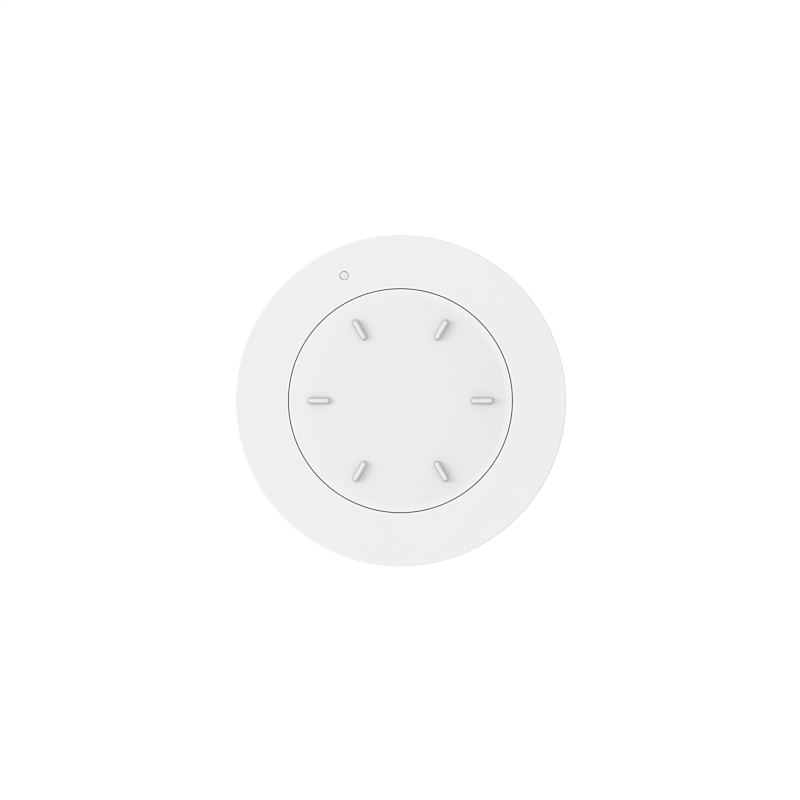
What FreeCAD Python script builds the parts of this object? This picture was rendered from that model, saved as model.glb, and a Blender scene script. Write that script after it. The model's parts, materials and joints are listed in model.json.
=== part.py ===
import FreeCAD, Part
import math
import os
import re

import Sketcher

# Wireless rotary dimmer switch for a wall. A plate is glued or screwed to the wall, a round housing
# is held on the plate by magnets, and a knob with six finger ridges turns and presses in its front.
# The origin is the middle of the back, on the wall. +Z points at the user and +Y is up on the wall.

# Sizes are in millimetres and degrees
SIZES = {
    # Knob, which is flush with the ring around it
    "knob_radius": 26.9,
    "knob_gap": 0.25,
    "rim_width": 1.6,
    "dome_rise": 1.0,
    "cap_wall": 1.6,
    "cap_skirt_wall": 1.3,
    "cap_edge": 0.15,
    "fin_inset": 7.2,
    "fin_length": 5.9,
    "fin_width": 2.0,
    "fin_height": 2.3,
    "fin_draft": 12,
    "fin_edge": 0.25,
    "fin_count": 6,
    "stake_inset": 6.9,
    "stake_radius": 1.2,
    "stake_fit": 0.1,
    "stake_head": 1.9,
    "stake_head_height": 0.5,
    "stake_root": 0.3,
    "stake_count": 3,
    "stake_start": 30,
    # Carrier, which joins the knob to the encoder's shaft
    "carrier_gap": 1.2,
    "carrier_thickness": 1.2,
    "hub_radius": 5.0,
    "hub_drop": 0.8,
    "hub_rise": 0.8,
    "guide_inset": 11.5,
    "guide_wall": 1.2,
    "guide_fit": 0.1,
    # Travel of the knob when it is pressed
    "press_travel": 0.5,
    "press_spare": 0.1,
    "skirt_spare": 0.2,
    # Shaft of the encoder
    "shaft_radius": 3.0,
    "shaft_flat": 1.5,
    "shaft_fit": 0.05,
    "shaft_shoulder": 0.6,
    "key_radius": 2.0,
    "key_flat": 1.4,
    # Front cover and its ring-shaped face
    "ring_width": 12.85,
    "cover_wall": 1.35,
    "cover_roof": 1.6,
    "cover_draft": 0.4,
    "cover_edge": 0.4,
    "opening_edge": 0.1,
    "well_wall": 1.25,
    "well_gap": 0.1,
    "shadow_gap": 1.0,
    "hook_reach": 0.75,
    "hook_width": 6.0,
    "hook_height": 1.0,
    "hook_fit": 0.3,
    "hook_place": 6.0,
    "hook_count": 4,
    # Lens of the status light
    "lens_angle": 114.2,
    "lens_offset": 0.3,
    "lens_radius": 1.0,
    "lens_fit": 0.1,
    "lens_recess": 0.1,
    "lens_flange": 2.5,
    "lens_flange_height": 0.9,
    "light_gap": 0.1,
    "led_length": 1.6,
    "led_width": 0.8,
    "led_height": 0.6,
    # Rear housing
    "shell_fit": 0.15,
    "housing_wall": 1.3,
    "floor_thickness": 1.6,
    "roof_gap": 0.2,
    # Wall plate, its foam pads and its two screw slots
    "plate_fit": 0.4,
    "plate_thickness": 2.0,
    "plate_edge": 0.3,
    "lift_gap": 0.2,
    "pad_thickness": 1.0,
    "pad_proud": 0.3,
    "pad_margin": 3.8,
    "pad_fit": 0.15,
    "upper_pad_depth": 13.0,
    "upper_pad_start": 20,
    "upper_pad_end": 80,
    "lower_pad_depth": 11.0,
    "lower_pad_start": 312,
    "lower_pad_end": 342,
    "slot_spacing": 60.0,
    "slot_radius": 2.1,
    "slot_length": 7.0,
    "slot_land": 0.8,
    "sink_angle": 45,
    "tab_place": 21.0,
    "tab_width": 4.0,
    "tab_depth": 2.0,
    "tab_height": 1.0,
    "tab_fit": 0.2,
    # Magnets and the steel discs that they hold on to
    "magnet_inset": 7.2,
    "magnet_radius": 4.0,
    "magnet_thickness": 1.5,
    "magnet_skin": 0.5,
    "magnet_fit": 0.1,
    "magnet_wall": 1.0,
    "magnet_clear": 0.4,
    "magnet_count": 3,
    "magnet_start": 90,
    "keeper_thickness": 0.8,
    # Screws that hold the inner frame and the board
    "screw_clear": 0.7,
    "screw_radius": 1.0,
    "screw_fit": 0.05,
    "screw_skin": 0.4,
    "screw_tip": 0.2,
    "screw_head": 1.9,
    "screw_head_height": 1.3,
    "screw_cross": 2.2,
    "screw_cross_width": 0.5,
    "screw_cross_depth": 0.7,
    "spigot_radius": 1.9,
    "spigot_fit": 0.15,
    "boss_radius": 2.9,
    "screw_count": 4,
    "screw_start": 45,
    # Inner frame
    "frame_margin": 1.6,
    "frame_thickness": 1.2,
    "frame_window_fit": 0.4,
    # Circuit board
    "board_fit": 1.7,
    "board_thickness": 1.0,
    "board_clear": 0.1,
    # Radio module
    "module_across": 10.0,
    "module_inset": 16.5,
    "module_width": 12.0,
    "module_length": 16.0,
    "module_thickness": 0.8,
    "shield_margin": 0.5,
    "shield_height": 0.8,
    "shield_wall": 0.15,
    "trace_width": 0.5,
    "trace_thickness": 0.1,
    "trace_length": 9.0,
    "trace_height": 3.0,
    "trace_feed": 3.0,
    # Coin cell and its well
    "cell_radius": 10.0,
    "cell_thickness": 3.2,
    "cell_cap_radius": 8.9,
    "cell_cap_height": 0.25,
    "cell_fit": 0.4,
    "cell_rest": 0.05,
    "cell_margin": 1.4,
    "battery_wall": 1.4,
    "battery_wall_fit": 0.3,
    "battery_wall_gap": 0.2,
    "contact_room": 0.75,
    "leaf_thickness": 0.2,
    "leaf_width": 4.0,
    "leaf_foot": 2.6,
    "leaf_gap": 0.05,
    "leaf_rise": 0.15,
    "leaf_slant": 0.65,
    "leaf_drop": 0.2,
    "leaf_dip": 3.0,
    "leaf_notch_fit": 0.3,
    "leaf_window_depth": 1.7,
    # Battery door
    "door_thickness": 1.2,
    "door_fit": 0.2,
    "seal_seat": 1.0,
    "seal_gap": 0.1,
    "seal_thickness": 0.18,
    "bayonet_reach": 1.1,
    "bayonet_fit": 0.3,
    "bayonet_thickness": 0.5,
    "bayonet_gap": 0.1,
    "bayonet_seat": 0.2,
    "bayonet_sweep": 24,
    "bayonet_twist": 32,
    "bayonet_play": 2,
    "bayonet_collar": 1.4,
    "bayonet_count": 3,
    "bayonet_start": 90,
    "coin_slot_length": 14.0,
    "coin_slot_radius": 0.9,
    "coin_slot_depth": 0.7,
    "window_margin": 0.4,
    # Encoder, which senses turns and presses
    "encoder_width": 12.0,
    "encoder_base_height": 1.6,
    "encoder_can_height": 2.4,
    "encoder_can_wall": 0.3,
    "encoder_leg_width": 3.0,
    "cavity_floor": 0.3,
    "cavity_radius": 2.9,
    "click_radius": 2.6,
    "click_height": 0.65,
    "click_wall": 0.1,
    "click_gap": 0.05,
    "bushing_radius": 3.9,
    "bushing_flange": 5.0,
    "bushing_flange_height": 0.6,
    "bushing_rise": 0.5,
    "detent_room": 0.9,
    "rotor_gap": 0.2,
    "rotor_thickness": 1.2,
    "rotor_notches": 24,
    "notch_radius": 0.4,
    "notch_offset": 0.15,
    "wiper_thickness": 0.15,
    "wiper_width": 1.6,
    "wiper_slit": 0.48,
    "wiper_slot": 70,
    "bump_radius": 0.3,
    "detent_gap": 0.1,
    "detent_leaf": 0.2,
    "terminal_length": 2.0,
    "terminal_width": 0.8,
    "terminal_pitch": 2.5,
}

# Places that follow from the sizes: heights above the wall from the back to the front, then radii
PLACES = {
    "plate_back": "pad_proud",
    "plate_front": "plate_back + plate_thickness",
    "pad_seat": "pad_thickness",
    "keeper_back": "plate_front - keeper_thickness",
    "sink_bottom": "plate_back + slot_land",
    "floor_back": "plate_front + lift_gap",
    "floor_front": "floor_back + floor_thickness",
    "magnet_back": "floor_back + magnet_skin",
    "magnet_front": "magnet_back + magnet_thickness",
    "board_back": "magnet_front + magnet_clear",
    "board_front": "board_back + board_thickness",
    "collar_top": "board_back - board_clear",
    "door_front": "floor_back + door_thickness",
    "seal_seat_height": "door_front + bayonet_seat",
    "bayonet_back": "door_front - bayonet_thickness",
    "cell_back": "door_front + cell_rest",
    "cell_front": "cell_back + cell_thickness",
    "frame_back": "cell_front + contact_room",
    "frame_front": "frame_back + frame_thickness",
    "battery_wall_top": "frame_back - battery_wall_gap",
    "spigot_top": "frame_back - board_clear",
    "base_front": "board_front + encoder_base_height",
    "can_front": "base_front + encoder_can_height",
    "cavity_back": "board_front + cavity_floor",
    "click_top": "cavity_back + click_height",
    "rotor_radius": "encoder_width / 2 - encoder_can_wall - detent_room",
    "rotor_back": "base_front + rotor_gap",
    "rotor_front": "rotor_back + rotor_thickness",
    "bushing_seat": "can_front - encoder_can_wall",
    "bushing_back": "bushing_seat - bushing_flange_height",
    "bushing_front": "can_front + bushing_rise",
    "shoulder_height": "rotor_front + shaft_shoulder",
    "hub_back": "bushing_front + press_travel + press_spare",
    "carrier_back": "hub_back + hub_drop",
    "carrier_front": "carrier_back + carrier_thickness",
    "hub_front": "carrier_front + hub_rise",
    "shaft_top": "hub_front - rotor_gap",
    "guide_ring_top": "carrier_back - press_travel - press_spare",
    "guide_skirt_back": "frame_front + press_travel + press_spare",
    "cap_skirt_back": "frame_front + press_travel + skirt_spare",
    "cover_top": "carrier_front + cap_wall",
    "dome_top": "cover_top + dome_rise",
    "fin_top": "cover_top + fin_height",
    "ceiling": "cover_top - cover_roof",
    "well_back": "frame_front + well_gap",
    "wall_top": "ceiling - roof_gap",
    "led_top": "board_front + led_height",
    "module_front": "board_front + module_thickness",
    "dome_radius": "knob_radius - rim_width",
    "fin_place": "knob_radius - fin_inset",
    "stake_place": "knob_radius - stake_inset",
    "carrier_radius": "knob_radius - cap_skirt_wall - carrier_gap",
    "guide_radius": "knob_radius - guide_inset",
    "opening_radius": "knob_radius + knob_gap",
    "well_radius": "opening_radius + well_wall",
    "cover_radius": "opening_radius + ring_width",
    "cover_inside": "cover_radius - cover_wall",
    "housing_radius": "cover_inside - shell_fit",
    "housing_inside": "housing_radius - housing_wall",
    "plate_radius": "housing_inside - plate_fit",
    "board_radius": "housing_inside - board_fit",
    "frame_radius": "well_radius + frame_margin",
    "screw_place": "well_radius + screw_clear + screw_head",
    "magnet_place": "housing_inside - magnet_inset",
    "module_up": "board_radius - module_inset",
    "shield_length": "module_length - 2 * shield_margin - trace_height - 2 * trace_width",
    "lens_place": "(well_radius + housing_inside) / 2 + lens_offset",
    "lens_across": "lens_place * cos(lens_angle)",
    "lens_up": "lens_place * sin(lens_angle)",
    "pad_outer": "plate_radius - pad_margin",
    "well_inside": "cell_radius + cell_fit",
    "battery_wall_radius": "well_inside + battery_wall",
    "board_cut": "battery_wall_radius + battery_wall_fit",
    "cell_drop": "-(encoder_width / 2 + cell_margin + board_cut)",
    "door_radius": "well_inside + seal_seat",
    "bayonet_radius": "door_radius + bayonet_reach",
    "groove_radius": "bayonet_radius + bayonet_fit",
    "window_radius": "groove_radius + window_margin",
    "foot_start": "board_cut + battery_wall_fit",
    "leaf_tip": "cell_radius + leaf_gap",
    "notch_place": "rotor_radius + notch_offset",
    "leaf_place": "notch_place + bump_radius + detent_gap",
}

UP = FreeCAD.Vector(0, 0, 1)
START, END, CENTRE = range(1, 4)
CLOSE = 0.001
SAME_VOLUME = 0.000001

doc = FreeCAD.newDocument("RotaryDimmer")
sheet = doc.addObject("Spreadsheet::Sheet", "Sizes")
for row, (alias, size) in enumerate(SIZES.items(), 1):
    sheet.set("A%d" % row, alias)
    sheet.set("B%d" % row, str(size))
    sheet.setAlias("B%d" % row, alias)
doc.recompute()


def formula(text):
    """A rule in words of SIZES and PLACES, written with the cells of the sheet."""
    def cell(word):
        name = word.group()
        if name in SIZES:
            return "Sizes." + name
        if name in PLACES:
            return "(" + formula(PLACES[name]) + ")"
        return name
    return re.sub(r"[a-z_]+", cell, text)


def value(text):
    """The number that a rule comes to now."""
    result = sheet.evalExpression(formula(text))
    return float(getattr(result, "Value", result))


def fix(sketch, kind, points, text):
    """Give a sketch one dimension and bind it to the sheet."""
    number = sketch.addConstraint(Sketcher.Constraint(kind, *points, value(text)))
    sketch.setExpression("Constraints[%d]" % number, formula(text))


def pin(sketch, edge, end, x, y):
    """Hold a point of a sketch at x, y."""
    fix(sketch, "DistanceX", (edge, end), x)
    fix(sketch, "DistanceY", (edge, end), y)


def circle(x, y, radius):
    """A full circle about x, y."""
    def draw(sketch):
        middle = FreeCAD.Vector(value(x), value(y), 0)
        ring = sketch.addGeometry(Part.Circle(middle, UP, value(radius)), False)
        pin(sketch, ring, CENTRE, x, y)
        fix(sketch, "Radius", (ring,), radius)
    return draw


def polygon(corners, domes=()):
    """A closed outline through corners; sides named in domes are arcs centred on the upright axis."""
    def draw(sketch):
        points = [FreeCAD.Vector(value(x), value(y), 0) for x, y in corners]
        sides = []
        for place, here in enumerate(points):
            there = points[(place + 1) % len(points)]
            if place in domes:
                sides.append(dome_side(sketch, here, there))
            else:
                line = sketch.addGeometry(Part.LineSegment(here, there), False)
                sides.append((line, START, END))
        for place, (side, first, last) in enumerate(sides):
            following = sides[(place + 1) % len(sides)]
            sketch.addConstraint(Sketcher.Constraint("Coincident", side, last, following[0], following[1]))
        for (side, first, last), (x, y) in zip(sides, corners):
            pin(sketch, side, first, x, y)
    return draw


def dome_side(sketch, here, there):
    """An arc from here to there with its centre on the sketch's upright axis."""
    rise = (there.x ** 2 + there.y ** 2 - here.x ** 2 - here.y ** 2) / (2 * (there.y - here.y))
    middle = FreeCAD.Vector(0, rise, 0)
    angles = [math.atan2(point.y - rise, point.x) for point in (here, there)]
    ring = Part.Circle(middle, UP, (here - middle).Length)
    arc = sketch.addGeometry(Part.ArcOfCircle(ring, min(angles), max(angles)), False)
    sketch.addConstraint(Sketcher.Constraint("PointOnObject", arc, CENTRE, -2))
    return (arc, END, START) if angles[0] > angles[1] else (arc, START, END)


def box(x, y, width, depth):
    """A rectangle about x, y."""
    left, right = "(%s) - (%s) / 2" % (x, width), "(%s) + (%s) / 2" % (x, width)
    low, high = "(%s) - (%s) / 2" % (y, depth), "(%s) + (%s) / 2" % (y, depth)
    return polygon([(left, low), (right, low), (right, high), (left, high)])


def stadium(x, y, length, radius):
    """A slot along X with round ends, as long as length over all."""
    def draw(sketch):
        half = "(%s) / 2 - (%s)" % (length, radius)
        left, right = "(%s) - (%s)" % (x, half), "(%s) + (%s)" % (x, half)
        size, middle = value(radius), value(y)
        ends = []
        for place, turn in ((left, math.pi / 2), (right, -math.pi / 2)):
            ring = Part.Circle(FreeCAD.Vector(value(place), middle, 0), UP, size)
            ends.append(sketch.addGeometry(Part.ArcOfCircle(ring, turn, turn + math.pi), False))
        sides = []
        for level, first, last in ((middle - size, left, right), (middle + size, right, left)):
            start = FreeCAD.Vector(value(first), level, 0)
            stop = FreeCAD.Vector(value(last), level, 0)
            sides.append(sketch.addGeometry(Part.LineSegment(start, stop), False))
        loop = [ends[0], sides[0], ends[1], sides[1]]
        for here, there in zip(loop, loop[1:] + loop[:1]):
            sketch.addConstraint(Sketcher.Constraint("Tangent", here, END, there, START))
        pin(sketch, ends[0], CENTRE, left, y)
        pin(sketch, ends[1], CENTRE, right, y)
        fix(sketch, "Radius", (ends[0],), radius)
        sketch.addConstraint(Sketcher.Constraint("Equal", ends[0], ends[1]))
    return draw


def sector(y, inner, outer, start, end):
    """A piece of a flat ring about 0, y, from one angle to the other."""
    def draw(sketch):
        middle = FreeCAD.Vector(0, value(y), 0)
        first, last = math.radians(value(start)), math.radians(value(end))
        rings = [Part.Circle(middle, UP, value(radius)) for radius in (inner, outer)]
        low, high = [sketch.addGeometry(Part.ArcOfCircle(ring, first, last), False) for ring in rings]
        opening = sketch.addGeometry(Part.LineSegment(rings[0].value(first), rings[1].value(first)), False)
        closing = sketch.addGeometry(Part.LineSegment(rings[1].value(last), rings[0].value(last)), False)
        joints = ((low, START, opening, START), (opening, END, high, START),
                  (high, END, closing, START), (closing, END, low, END))
        for joint in joints:
            sketch.addConstraint(Sketcher.Constraint("Coincident", *joint))
        for arc, radius in ((low, inner), (high, outer)):
            pin(sketch, arc, CENTRE, "0", y)
            fix(sketch, "Radius", (arc,), radius)
            for tip, angle in ((START, start), (END, end)):
                if abs(math.sin(math.radians(value(angle)))) > math.sqrt(0.5):
                    fix(sketch, "DistanceX", (arc, tip), "(%s) * cos(%s)" % (radius, angle))
                else:
                    fix(sketch, "DistanceY", (arc, tip), "(%s) + (%s) * sin(%s)" % (y, radius, angle))
    return draw


def dee(radius, flat):
    """A circle about the axis with one side cut straight at x = flat."""
    def draw(sketch):
        turn = math.acos(value(flat) / value(radius))
        ring = Part.Circle(FreeCAD.Vector(0, 0, 0), UP, value(radius))
        arc = sketch.addGeometry(Part.ArcOfCircle(ring, turn, 2 * math.pi - turn), False)
        side = sketch.addGeometry(Part.LineSegment(ring.value(-turn), ring.value(turn)), False)
        sketch.addConstraint(Sketcher.Constraint("Coincident", arc, END, side, START))
        sketch.addConstraint(Sketcher.Constraint("Coincident", side, END, arc, START))
        sketch.addConstraint(Sketcher.Constraint("Coincident", arc, CENTRE, -1, 1))
        sketch.addConstraint(Sketcher.Constraint("Vertical", side))
        fix(sketch, "Radius", (arc,), radius)
        fix(sketch, "DistanceX", (side, START), flat)
    return draw


def spaced(count, start):
    """Equal angles around a circle, as rules."""
    return ["%s + %d * 360 / %s" % (start, number, count) for number in range(round(value(count)))]


def around(place, angles, radius):
    """Equal circles at a distance from the axis, one at each angle."""
    return [circle("(%s) * cos(%s)" % (place, angle), "(%s) * sin(%s)" % (place, angle), radius)
            for angle in angles]


def body(name, loose=False):
    """An empty sub-part; a loose one may hold several solids."""
    piece = doc.addObject("PartDesign::Body", name)
    piece.AllowCompound = loose
    return piece


def origin_feature(piece, role):
    """A plane or axis of a sub-part's own origin."""
    return next(item for item in piece.Origin.OriginFeatures if item.Role == role)


def sketch_on(piece, name, shapes, role="XY_Plane", offset="0"):
    """A sketch of the shapes on a plane of the sub-part, moved along its normal by offset."""
    drawing = piece.newObject("Sketcher::SketchObject", name + "_sketch")
    drawing.AttachmentSupport = [(origin_feature(piece, role), "")]
    drawing.MapMode = "FlatFace"
    drawing.setExpression("AttachmentOffset.Base.z", formula(offset))
    for draw in shapes:
        draw(drawing)
    return drawing


def pad(piece, name, bottom, top, *shapes, draft=None):
    """Add the shapes from one height up to another, drawing in by the draft angle."""
    drawing = sketch_on(piece, name, shapes, offset=bottom)
    feature = piece.newObject("PartDesign::Pad", name)
    feature.Profile = drawing
    feature.setExpression("Length", formula("(%s) - (%s)" % (top, bottom)))
    if draft:
        feature.setExpression("TaperAngle", formula("-(%s)" % draft))
    return feature


def pocket(piece, name, bottom, top, *shapes, draft=None):
    """Cut the shapes from one height down to another, opening towards the top by the draft angle."""
    upwards = draft is not None
    drawing = sketch_on(piece, name, shapes, offset=bottom if upwards else top)
    feature = piece.newObject("PartDesign::Pocket", name)
    feature.Profile = drawing
    feature.Reversed = upwards
    feature.setExpression("Length", formula("(%s) - (%s)" % (top, bottom)))
    if upwards:
        feature.setExpression("TaperAngle", formula(draft))
    return feature


def turned(piece, name, corners, domes=()):
    """A section of radii and heights turned about the axis."""
    drawing = sketch_on(piece, name, [polygon(corners, domes)], "XZ_Plane")
    feature = piece.newObject("PartDesign::Revolution", name)
    feature.Profile = drawing
    feature.ReferenceAxis = (drawing, ["V_Axis"])
    feature.Angle = 360
    return feature


def bent_strip(piece, name, corners, width, y):
    """A strip whose side view has these corners, as wide as width about y."""
    drawing = sketch_on(piece, name, [polygon(corners)], "XZ_Plane", "-(%s) - (%s) / 2" % (y, width))
    feature = piece.newObject("PartDesign::Pad", name)
    feature.Profile = drawing
    feature.setExpression("Length", formula(width))
    return feature


def repeated(piece, name, count, *features):
    """The features again at equal angles about the axis."""
    pattern = piece.newObject("PartDesign::PolarPattern", name)
    pattern.Originals = list(features)
    pattern.Axis = (origin_feature(piece, "Z_Axis"), [""])
    pattern.Angle = 360
    pattern.setExpression("Occurrences", formula(count))
    piece.Tip = pattern
    return pattern


def rounded(piece, name, radius, wanted):
    """Round the edges that wanted picks out."""
    doc.recompute()
    base = piece.Tip
    edges = ["Edge%d" % number for number, edge in enumerate(base.Shape.Edges, 1) if wanted(edge)]
    feature = piece.newObject("PartDesign::Fillet", name)
    feature.Base = (base, edges)
    feature.setExpression("Radius", formula(radius))
    return feature


def ring_edge(radius, height):
    """A test for the round edge of this radius at this height."""
    def wanted(edge):
        if edge.Degenerated or not isinstance(edge.Curve, Part.Circle):
            return False
        level = abs(edge.Curve.Center.z - value(height)) < CLOSE
        return level and abs(edge.Curve.Radius - value(radius)) < CLOSE
    return wanted


def level_edge(height):
    """A test for edges that lie at one height."""
    def wanted(edge):
        return all(abs(vertex.Z - value(height)) < CLOSE for vertex in edge.Vertexes)
    return wanted


def block(name, x, y, bottom, width, depth, height):
    """A plain box about x, y that stands on bottom."""
    solid = doc.addObject("Part::Box", name)
    solid.setExpression("Length", formula(width))
    solid.setExpression("Width", formula(depth))
    solid.setExpression("Height", formula(height))
    solid.setExpression("Placement.Base.x", formula("(%s) - (%s) / 2" % (x, width)))
    solid.setExpression("Placement.Base.y", formula("(%s) - (%s) / 2" % (y, depth)))
    solid.setExpression("Placement.Base.z", formula(bottom))
    return solid


# Angles of the repeated pieces
magnet_angles = spaced("magnet_count", "magnet_start")
screw_angles = spaced("screw_count", "screw_start")
bayonet_angles = spaced("bayonet_count", "bayonet_start")


def bayonet_sectors(inner, outer, middle, sweep):
    """Pieces of a ring about the battery door's axis, each turned from its angle by middle."""
    return [sector("cell_drop", inner, outer, "%s + (%s) - (%s) / 2" % (angle, middle, sweep),
                   "%s + (%s) + (%s) / 2" % (angle, middle, sweep)) for angle in bayonet_angles]


def pad_sectors(fit):
    """The four foam pads' outlines, mirrored left and right, grown all round by fit."""
    shapes = []
    kinds = (("upper_pad_depth", "upper_pad_start", "upper_pad_end"),
             ("lower_pad_depth", "lower_pad_start", "lower_pad_end"))
    for depth, start, end in kinds:
        spread = "(%s) / pad_outer * 180 / pi" % fit
        inner, outer = "pad_outer - %s - (%s)" % (depth, fit), "pad_outer + (%s)" % fit
        right = (start + " - " + spread, end + " + " + spread)
        left = ("180 - %s - %s" % (end, spread), "180 - %s + %s" % (start, spread))
        for first, last in (right, left):
            shapes.append(sector("0", inner, outer, first, last))
    return shapes


# Wall plate: a flat moulded disc with a window behind the battery door, two sunk screw slots,
# three tabs that stop the housing from turning, and pockets for the pads and the steel discs
wall_plate = body("wall_plate")
pad(wall_plate, "plate_disc", "plate_back", "plate_front",
    circle("0", "0", "plate_radius"), circle("0", "cell_drop", "window_radius"))
rounded(wall_plate, "plate_rim", "plate_edge", ring_edge("plate_radius", "plate_front"))
first_tab = pad(wall_plate, "tab", "plate_front", "plate_front + tab_height",
                box("0", "tab_place", "tab_width", "tab_depth"))
repeated(wall_plate, "tabs", "magnet_count", first_tab)
pocket(wall_plate, "keeper_pockets", "keeper_back", "plate_front",
       *around("magnet_place", magnet_angles, "magnet_radius + magnet_fit"))
pocket(wall_plate, "pad_pockets", "plate_back", "pad_seat", *pad_sectors("pad_fit"))
slots = [stadium(side + "slot_spacing / 2", "0", "slot_length", "slot_radius") for side in ("-", "")]
pocket(wall_plate, "slot_lands", "plate_back", "sink_bottom", *slots)
pocket(wall_plate, "slot_sinks", "sink_bottom", "plate_front", *slots, draft="sink_angle")

# Foam pads with glue on both faces, the only pieces that touch the wall
adhesive_pads = body("adhesive_pads", loose=True)
pad(adhesive_pads, "foam", "0", "pad_seat", *pad_sectors("0"))

# Steel discs, pressed into the plate's front opposite the magnets
keeper_discs = body("keeper_discs", loose=True)
pad(keeper_discs, "discs", "keeper_back", "plate_front",
    *around("magnet_place", magnet_angles, "magnet_radius"))

# Rear housing: a round tray whose wall runs down around the plate
rear_housing = body("rear_housing")
turned(rear_housing, "tray", [
    ("0", "floor_back"), ("housing_inside", "floor_back"), ("housing_inside", "shadow_gap"),
    ("housing_radius", "shadow_gap"), ("housing_radius", "wall_top"), ("housing_inside", "wall_top"),
    ("housing_inside", "floor_front"), ("0", "floor_front")])
pad(rear_housing, "magnet_rings", "floor_front", "collar_top",
    *around("magnet_place", magnet_angles, "magnet_radius + magnet_fit + magnet_wall"))
pad(rear_housing, "bayonet_collar_ring", "floor_front", "collar_top",
    circle("0", "cell_drop", "groove_radius + bayonet_collar"))
pad(rear_housing, "battery_wall_ring", "floor_front", "battery_wall_top",
    circle("0", "cell_drop", "battery_wall_radius"))
pad(rear_housing, "bosses", "floor_front", "board_back",
    *around("screw_place", screw_angles, "boss_radius"))
pad(rear_housing, "spigots", "board_back", "spigot_top",
    *around("screw_place", screw_angles, "spigot_radius"))
pocket(rear_housing, "screw_bores", "floor_back + screw_skin", "spigot_top",
       *around("screw_place", screw_angles, "screw_radius + screw_fit"))
pocket(rear_housing, "magnet_pockets", "magnet_back", "collar_top",
       *around("magnet_place", magnet_angles, "magnet_radius + magnet_fit"))
pocket(rear_housing, "cell_bore", "floor_back", "battery_wall_top", circle("0", "cell_drop", "well_inside"))
pocket(rear_housing, "door_bore", "floor_back", "seal_seat_height",
       circle("0", "cell_drop", "door_radius + door_fit"))
pocket(rear_housing, "bayonet_grooves", "bayonet_back - bayonet_gap", "seal_seat_height",
       *bayonet_sectors("well_inside", "groove_radius", "-bayonet_twist / 2",
                        "bayonet_twist + bayonet_sweep + 2 * bayonet_play"))
pocket(rear_housing, "bayonet_entries", "floor_back", "bayonet_back - bayonet_gap",
       *bayonet_sectors("well_inside", "groove_radius",
                        "-bayonet_twist", "bayonet_sweep + 2 * bayonet_play"))
first_recess = pocket(rear_housing, "tab_recess", "floor_back", "plate_front + tab_height + tab_fit",
                      box("0", "tab_place", "tab_width + 2 * tab_fit", "tab_depth + 2 * tab_fit"))
repeated(rear_housing, "tab_recesses", "magnet_count", first_recess)
for name, side, bottom in (("side_contact_window", "-", "cell_front - leaf_window_depth"),
                           ("top_contact_notch", "", "cell_front")):
    pocket(rear_housing, name, bottom, "battery_wall_top",
           box(side + "battery_wall_radius", "cell_drop", "2 * (battery_wall + cell_fit)",
               "leaf_width + 2 * leaf_notch_fit"))
first_window = pocket(
    rear_housing, "hook_window", "hook_place - hook_fit / 2", "hook_place + hook_height + hook_fit / 2",
    box("(housing_inside + housing_radius) / 2", "0", "housing_wall * 2", "hook_width + 2 * hook_fit"))
repeated(rear_housing, "hook_windows", "hook_count", first_window)

# Front cover: the outer shell, the flat ring around the knob, and the wall of the knob's well
front_cover = body("front_cover")
turned(front_cover, "shell", [
    ("opening_radius", "cover_top"), ("cover_radius", "cover_top"),
    ("cover_radius - cover_draft", "shadow_gap"), ("cover_inside", "shadow_gap"),
    ("cover_inside", "ceiling"), ("well_radius", "ceiling"),
    ("well_radius", "well_back"), ("opening_radius", "well_back")])
rounded(front_cover, "outer_edge", "cover_edge", ring_edge("cover_radius", "cover_top"))
rounded(front_cover, "inner_edge", "opening_edge", ring_edge("opening_radius", "cover_top"))
first_hook = pad(
    front_cover, "hook", "hook_place", "hook_place + hook_height",
    box("cover_inside - hook_reach / 2 + hook_fit / 2", "0", "hook_reach + hook_fit", "hook_width"))
repeated(front_cover, "hooks", "hook_count", first_hook)
pocket(front_cover, "lens_hole", "ceiling", "cover_top",
       circle("lens_across", "lens_up", "lens_radius + lens_fit"))

# Inner frame: a disc that clamps the board on the bosses and guides the knob on its raised ring
inner_frame = body("inner_frame")
pad(inner_frame, "frame_disc", "frame_back", "frame_front", circle("0", "0", "frame_radius"))
pad(inner_frame, "posts", "board_front", "frame_front", *around("screw_place", screw_angles, "boss_radius"))
pad(inner_frame, "guide_ring", "frame_front", "guide_ring_top",
    circle("0", "0", "guide_radius"), circle("0", "0", "guide_radius - guide_wall"))
pocket(inner_frame, "encoder_window", "frame_back", "frame_front",
       box("0", "0", "encoder_width + 2 * frame_window_fit", "encoder_width + 2 * frame_window_fit"))
pocket(inner_frame, "spigot_bores", "board_front", "frame_back",
       *around("screw_place", screw_angles, "spigot_radius + spigot_fit"))
pocket(inner_frame, "screw_holes", "frame_back", "frame_front",
       *around("screw_place", screw_angles, "screw_radius + spigot_fit"))

# Four cross-head screws through the frame and the board into the bosses
frame_screws = body("frame_screws", loose=True)
pad(frame_screws, "shanks", "floor_back + screw_skin + screw_tip", "frame_front",
    *around("screw_place", screw_angles, "screw_radius"))
pad(frame_screws, "heads", "frame_front", "frame_front + screw_head_height",
    *around("screw_place", screw_angles, "screw_head"))
for name, width, depth in (("cross_along", "screw_cross", "screw_cross_width"),
                           ("cross_over", "screw_cross_width", "screw_cross")):
    pocket(frame_screws, name, "frame_front + screw_head_height - screw_cross_depth",
           "frame_front + screw_head_height",
           *[box("screw_place * cos(%s)" % angle, "screw_place * sin(%s)" % angle, width, depth)
             for angle in screw_angles])

# Circuit board, cut out round for the battery's well
circuit_board = body("circuit_board")
pad(circuit_board, "laminate", "board_back", "board_front",
    circle("0", "0", "board_radius"), circle("0", "cell_drop", "board_cut"),
    *around("screw_place", screw_angles, "spigot_radius + spigot_fit"))

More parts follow.
